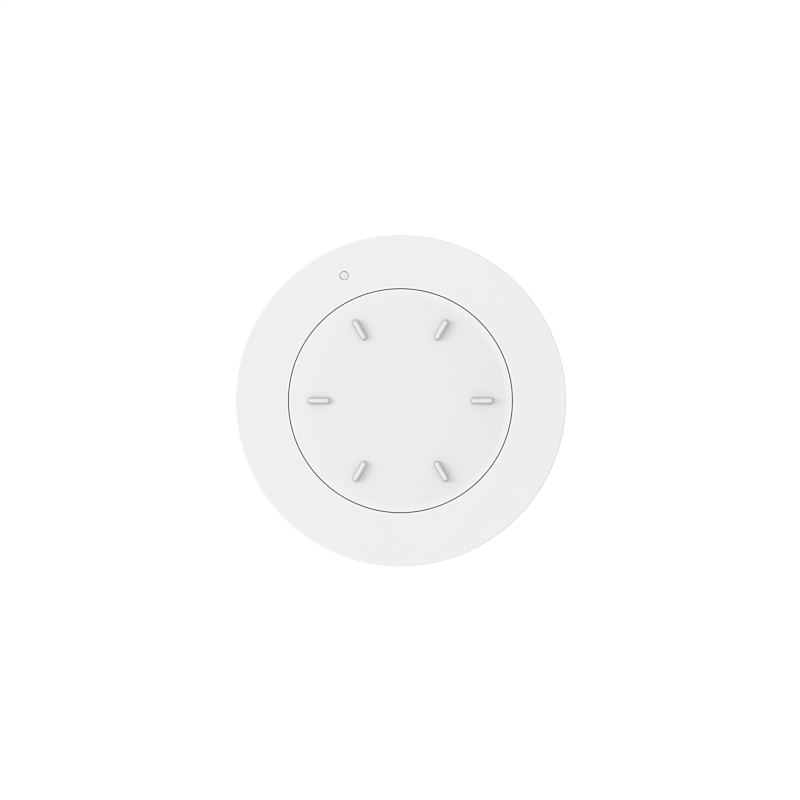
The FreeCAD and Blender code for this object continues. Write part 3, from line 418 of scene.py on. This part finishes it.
def turned(outline, across=0.0, up=0.0, steps=96):
    """Spins an outline of radius and height right round an upright axis, and closes it."""
    bm = bmesh.new()
    points = [bm.verts.new((radius, 0, z)) for radius, z in outline]
    edges = [bm.edges.new(pair) for pair in zip(points, points[1:])]
    if outline[0][0] > 0:
        edges.append(bm.edges.new((points[-1], points[0])))
    bmesh.ops.spin(bm, geom=points + edges, cent=(0, 0, 0), axis=(0, 0, 1), angle=math.tau,
                   steps=steps, use_merge=True)
    bmesh.ops.remove_doubles(bm, verts=bm.verts, dist=weld)
    bmesh.ops.recalc_face_normals(bm, faces=bm.faces)
    bmesh.ops.translate(bm, vec=(across, up, 0), verts=bm.verts)
    return bm


def rounded(bm, radius, z, offset, across=0.0, up=0.0, segments=4):
    """Rounds the ring of edges that lies at a radius and height of a turned shape."""
    def on_ring(place):
        away = math.hypot(place.x - across, place.y - up)
        return abs(away - radius) < 0.01 and abs(place.z - z) < 0.005

    ring = [edge for edge in bm.edges if all(on_ring(end.co) for end in edge.verts)]
    bevel(bm, ring, offset, segments)


cell = turned([(0, cap_front), (cap_radius, cap_front), (8.75, 6.72), (9.1, 6.55), (9.4, can_front),
               (cell_radius, can_front), (cell_radius, cell_back), (0, cell_back)], up=cell_up)
rounded(cell, cell_radius, cell_back, 0.4, up=cell_up)
rounded(cell, cell_radius, can_front, 0.25, up=cell_up)
rounded(cell, cap_radius, cap_front, 0.12, up=cell_up)
piece("coin_cell_can", cell, bright_steel, "coin_cell")

# Battery contacts and click spring: rolled spring steel with a nickel flash. The wiper under the
# encoder's wheel is stamped from bronze.
spring_nickel, tree, shader, place = material("spring_nickel", 0.25, 1.0)
paint(tree, shader, clouds(tree, place, 1.5, (0.60, 0.59, 0.55), (0.70, 0.69, 0.65), 4),
      spread(tree, noise(tree, place, 0.3, 4), 0.2, 0.36))
for node in ("battery_contact_positive", "battery_contact_negative", "encoder_detent_spring"):
    dress(node, spring_nickel)
bronze, tree, shader, place = material("wiper_bronze", 0.3, 1.0)
paint(tree, shader, clouds(tree, place, 1.5, (0.66, 0.46, 0.22), (0.78, 0.58, 0.30), 4))
dress("encoder_wiper", bronze)

# Snap dome: a thin domed disc of the same spring steel, which lies in the encoder's base under the
# shaft. It flattens when the knob is pressed, clicks, and lifts the knob again.
click_radius, click_wall, click_steps = 2.6, 0.1, 8
click_back, click_front = (corner[2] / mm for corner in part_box("switch_dome"))


def click_arc(radius, top):
    """Points from the middle of a shallow dome to its edge."""
    shares = [step / click_steps for step in range(click_steps + 1)]
    return [(radius * share, top - (top - click_back) * share ** 2) for share in shares]


outer_face = click_arc(click_radius, click_front)
inner_face = click_arc(click_radius - click_wall, click_front - click_wall)
click_disc = turned(outer_face + inner_face[::-1], steps=48)
snap_dome = piece("snap_dome", click_disc, spring_nickel, "switch_dome")
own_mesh(snap_dome)

# Inner frame and its screws: a disc of undyed plastic that clamps the board and guides the knob,
# held by four zinc-plated cross-head screws that cut their own thread in the tray's bosses.
undyed = moulded("undyed_plastic", (0.70, 0.69, 0.65), (0.65, 0.64, 0.60), 0.5, 0.2, 0.006)
dress("inner_frame", undyed)
dress("frame_screws", zinc)

# Encoder: a black moulded base, a metal bushing, a notched wheel of undyed acetal, and a turned
# aluminium shaft that slides through the wheel when the knob is pressed.
encoder_black = moulded("encoder_black", (0.03, 0.03, 0.032), (0.02, 0.02, 0.022), 0.45)
dress("encoder_base", encoder_black)
wheel_natural = moulded("wheel_natural", (0.62, 0.60, 0.52), (0.56, 0.54, 0.47), 0.4)
dress("encoder_rotor", wheel_natural)
turned_metal, tree, shader, place = material("turned_metal", 0.3, 1.0)
paint(tree, shader, clouds(tree, place, 0.5, (0.58, 0.57, 0.56), (0.68, 0.68, 0.67)))
bump(tree, shader, noise(tree, place, 0.15), 0.003)
dress("encoder_bushing", turned_metal)
dress("encoder_shaft", turned_metal)

# Front cover: the white outer shell, whose flat ring lies round the knob and whose inner wall is the
# knob's well. Four hooks inside hold it to the tray, and a small hole takes the light guide. Its
# colour
# carries painted light: a painted highlight beside the gap, painted shade on the well's wall, a
# lighter painted band on the rounded outer edge, and a faint painted halo round the lens hole.
cover_top, face_back, well_back, cover_back = 14.6, 13.0, 9.0, 1.0
opening_radius, well_radius, inside_radius, foot_radius, cover_radius = 27.15, 28.4, 38.65, 39.6, 40.0
lens_across, lens_up, hole_radius, mouth_radius = -13.57, 30.19, 1.08, 1.22
fine_steps, small_steps = 192, 48

# Painted shade on the well's wall, a painted highlight beside the gap, a painted lighter outer edge, a
# painted halo round the lens.
well_wall_painted_shade = (grey(0.5), 26.9, 27.19, 0, 0, 0.02)
opening_painted_highlight = (grey(0.99), 27.24, 27.45, 0, 0, 0.05)
outer_edge_painted_light = (grey(0.88), 39.64, 41.0)
lens_painted_halo = (grey(0.90), 1.27, 1.50, lens_across, lens_up)
cover_white = moulded("cover_white", grey(0.823), grey(0.817), 0.5,
                      bands=(well_wall_painted_shade, opening_painted_highlight, outer_edge_painted_light, lens_painted_halo))

shell = turned([(opening_radius, cover_top), (cover_radius, cover_top), (foot_radius, cover_back),
                (inside_radius, cover_back), (inside_radius, face_back), (well_radius, face_back),
                (well_radius, well_back), (opening_radius, well_back)], steps=fine_steps)
rounded(shell, cover_radius, cover_top, 0.4, segments=5)
rounded(shell, opening_radius, cover_top, 0.07)
rounded(shell, foot_radius, cover_back, 0.15, segments=2)
rounded(shell, inside_radius, cover_back, 0.15, segments=2)
hook_size, hook_middle = (1.05, 6.0, 1.0), (38.425, 0, 6.5)
hooks = bmesh.new()
for degrees in (0, 90, 180, 270):
    hook = bmesh.ops.create_cube(hooks, size=1)["verts"]
    bmesh.ops.scale(hooks, vec=hook_size, verts=hook)
    bmesh.ops.translate(hooks, vec=hook_middle, verts=hook)
    swing(hooks, hook, degrees)
cover = piece("front_cover_shell", shell, cover_white, "front_cover")


def combined(made, bm, operation):
    """Cuts a shape in millimetres out of a finished piece, or joins it on as one skin."""
    other = placed("shape", as_mesh("shape", bm))
    step = made.modifiers.new("combine", "BOOLEAN")
    step.object, step.operation, step.solver = other, operation, "EXACT"
    shading = made.modifiers["even_shading"]
    shading.show_viewport = False
    view = bpy.context.evaluated_depsgraph_get()
    mesh = bpy.data.meshes.new_from_object(made.evaluated_get(view))
    shading.show_viewport = True
    made.modifiers.remove(step)
    shape, old, made.data = other.data, made.data, mesh
    bpy.data.objects.remove(other)
    for spare in (shape, old):
        bpy.data.meshes.remove(spare)
    clean = bmesh.new()
    clean.from_mesh(mesh)
    bmesh.ops.remove_doubles(clean, verts=clean.verts, dist=weld * mm)
    clean.to_mesh(mesh)
    clean.free()
    mesh.set_sharp_from_angle(angle=crease)


lens_hole = turned([(0, 12.6), (hole_radius, 12.6), (hole_radius, 14.28), (mouth_radius, cover_top),
                    (mouth_radius, 15.0), (0, 15.0)], lens_across, lens_up, small_steps)
combined(cover, hooks, "UNION")
combined(cover, lens_hole, "DIFFERENCE")

# Light guide: one clear acrylic moulding whose frosted, slightly domed end is the small lens in the
# ring. Its flange lies against the back of the cover's face.
frosted, tree, shader, place = material("frosted_acrylic", 0.35, Transmission_Weight=0.06)
paint(tree, shader, ramp(tree, noise(tree, place, 0.5), (0.35, *grey(0.80)), (0.65, *grey(0.88))))
bump(tree, shader, noise(tree, place, 0.15), 0.006)
lens_radius, flange_radius, flange_back, guide_back = 1.0, 2.5, 12.1, 6.6
guide = turned([(0, 14.5), (0.5, 14.49), (0.8, 14.47), (0.95, 14.42), (lens_radius, 14.32),
                (lens_radius, face_back), (flange_radius, face_back), (flange_radius, flange_back),
                (lens_radius, flange_back), (lens_radius, guide_back), (0, guide_back)],
               lens_across, lens_up, small_steps)
rounded(guide, flange_radius, flange_back, 0.2, lens_across, lens_up, 3)
piece("light_guide_rod", guide, frosted, "light_guide")

# Knob carrier: a disc of undyed plastic staked under the cap, whose hub grips the flat of the
# encoder's shaft.
dress("knob_carrier", undyed)

# Knob cap: the white moulded face that the hand turns. A shallow dome stands inside a flat rim that
# lies level with the ring, six drafted ridges give the fingers a hold, and a skirt runs in the well.
# Its colour carries painted light: the dome is painted a little darker than the flat rim, a painted
# highlight runs along the edge beside the gap, painted shade lies on the skirt, and the ridges' steep
# flanks are painted darker.
knob_radius, skirt_back, skirt_inside, hollow_radius, knob_wall = 26.9, 9.6, 25.6, 23.7, 1.6
dome_radius, dome_rise, dome_rows = 25.3, 1.0, 16
# Painted light: the rim painted lighter than the dome, a painted highlight by the gap, painted shade
# on the skirt and flanks.
rim_painted_lighter = (grey(0.822), 25.32, 27.2, 0, 0, 0.04)
rim_painted_highlight = (grey(0.99), 26.60, 26.86, 0, 0, 0.04)
skirt_painted_shade = (grey(0.5), 26.89, 27.2, 0, 0, 0.01)
knob_white = moulded("knob_white", grey(0.803), grey(0.797), 0.5,
                     bands=(rim_painted_lighter, rim_painted_highlight, skirt_painted_shade), painted_flank_shade=0.6)


def dome_height(radius):
    """Height of the dome, flattest in the middle, at a distance from its axis."""
    return cover_top + dome_rise * (1 - (radius / dome_radius) ** 3)


dome = [dome_radius * step / dome_rows for step in range(dome_rows + 1)]
hollow = [hollow_radius * step / 8 for step in range(8, -1, -1)]
cap = turned([(radius, dome_height(radius)) for radius in dome]
             + [(knob_radius, cover_top), (knob_radius, skirt_back), (skirt_inside, skirt_back),
                (skirt_inside, face_back), (hollow_radius, face_back)]
             + [(radius, dome_height(radius) - knob_wall) for radius in hollow[1:]], steps=fine_steps)
rounded(cap, knob_radius, cover_top, 0.08)
rounded(cap, knob_radius, skirt_back, 0.15, segments=2)

ridge_reach, ridge_length, ridge_width = 19.7, 5.9, 2.0
ridge_level, ridge_foot = 16.2, 15.0    # level from one height up, following the dome under the other
ridge_outline = [(1.01, 14.93), (0.95, 14.985), (0.915, 15.02), (0.90, 15.06), (0.885, 15.14),
                 (0.80, 15.70), (0.72, 16.12), (0.64, 16.38), (0.54, 16.58), (0.43, 16.71),
                 (0.31, 16.80), (0.18, 16.87), (0.07, 16.9)]


def ridge(degrees):
    """One ridge: a turned peg, pulled apart to its length and seated on the dome."""
    bm = bmesh.new()
    points = [bm.verts.new((radius, 0, z)) for radius, z in ridge_outline]
    edges = [bm.edges.new(pair) for pair in zip(points, points[1:])]
    bmesh.ops.spin(bm, geom=points + edges, cent=(0, 0, 0), axis=(0, 0, 1), angle=math.tau,
                   steps=30, use_merge=True)
    bmesh.ops.remove_doubles(bm, verts=bm.verts, dist=weld)
    bmesh.ops.holes_fill(bm, edges=[edge for edge in bm.edges if edge.is_boundary], sides=0)
    bmesh.ops.recalc_face_normals(bm, faces=bm.faces)
    stretch = (ridge_length - ridge_width) / 2
    for corner in bm.verts:
        corner.co.x += math.copysign(stretch, corner.co.x) + ridge_reach
        share = min(1, max(0, (ridge_level - corner.co.z) / (ridge_level - ridge_foot)))
        away = min(math.hypot(corner.co.x, corner.co.y), dome_radius)
        corner.co.z += share * (dome_height(away) - dome_height(ridge_reach))
    swing(bm, bm.verts, degrees)
    return bm


knob_cap = piece("knob_cap_moulding", cap, knob_white, "knob_cap")
combined(knob_cap, gathered(ridge(degrees) for degrees in range(0, 360, 60)), "UNION")
for edge in knob_cap.data.edges:
    ends = [knob_cap.data.vertices[end].co for end in edge.vertices]
    if all(abs(end.xy.length - dome_radius * mm) < 0.01 * mm and end.z > 14.5 * mm for end in ends):
        edge.use_edge_sharp = True

# Floor: a plain sheet that shows pure white, as the photograph's ground does, and gives the switch
# less light than it shows. It is clear from behind, so that the back of the switch can be looked at.
sheet = bmesh.new()
bmesh.ops.create_grid(sheet, x_segments=1, y_segments=1, size=3)
floor = placed("floor", as_mesh("floor", sheet, 1))
floor.location.z = -0.01 * mm
paper, tree, shader, _ = material("paper_white", 1.0, Base_Color=(0, 0, 0, 1), Specular_IOR_Level=0.0,
                                  Emission_Color=(1, 1, 1, 1), Emission_Strength=1.03)


def either(tree, factor, at_zero, at_one):
    """One shader where a factor is 0 and another where it is 1."""
    made = add(tree, "MixShader", Fac=factor)
    tree.links.new(at_zero.outputs[0], made.inputs[1])
    tree.links.new(at_one.outputs[0], made.inputs[2])
    return made


seen_directly = add(tree, "LightPath").outputs["Is Camera Ray"]
dim_paper = add(tree, "Emission", Color=(1, 1, 1, 1), Strength=0.45)
front_side = either(tree, seen_directly, dim_paper, shader)
back_side = add(tree, "BsdfTransparent")
both_sides = either(tree, add(tree, "NewGeometry").outputs["Backfacing"], front_side, back_side)
tree.links.new(both_sides.outputs[0], tree.nodes["Material Output"].inputs["Surface"])
paper.cycles.emission_sampling = "NONE"
floor.data.materials.append(paper)

# Studio: a bright even room that shows white, one large window on the left and a little above, and
# a weak lamp behind the wall for views of the back.
world = bpy.data.worlds.new("studio")
bpy.context.scene.world = world
world.use_nodes = True
tree = world.node_tree
room = tree.nodes["Background"]
room.inputs["Color"].default_value = (1, 1, 1, 1)
room.inputs["Strength"].default_value = 0.84
white_wall = add(tree, "Background", Color=(1, 1, 1, 1), Strength=1.0)
seen = either(tree, add(tree, "LightPath").outputs["Is Camera Ray"], room, white_wall)
tree.links.new(seen.outputs[0], tree.nodes["World Output"].inputs["Surface"])
for name, turn, rise, reach, size, power in (
        ("left_window", 172, 38, 3.0, 1.8, 32.5), ("back_light", 300, -50, 1.5, 1.2, 8)):
    lamp = bpy.data.lights.new(name, "AREA")
    lamp.shape = "DISK"
    lamp.size = size
    lamp.energy = power
    stand = placed(name, lamp)
    turn, rise = math.radians(turn), math.radians(rise)
    toward = Vector((math.cos(rise) * math.cos(turn), math.cos(rise) * math.sin(turn), math.sin(rise)))
    stand.location = toward * reach
    stand.rotation_euler = toward.to_track_quat("Z", "Y").to_euler()

# Camera: a long lens straight in front of the switch, as in the photograph, that frames a square at
# the height of the ring.
view_width, camera_height, ring_height, sensor_width = 193.1 * mm, 1.2, 14.4 * mm, 36
lens = bpy.data.cameras.new("camera")
lens.sensor_width = sensor_width
lens.lens = sensor_width * (camera_height - ring_height) / view_width
camera = placed("camera", lens)
camera.location = (-0.11 * mm, 0.17 * mm, camera_height)
bpy.context.scene.camera = camera
bpy.context.scene.view_settings.view_transform = "Standard"
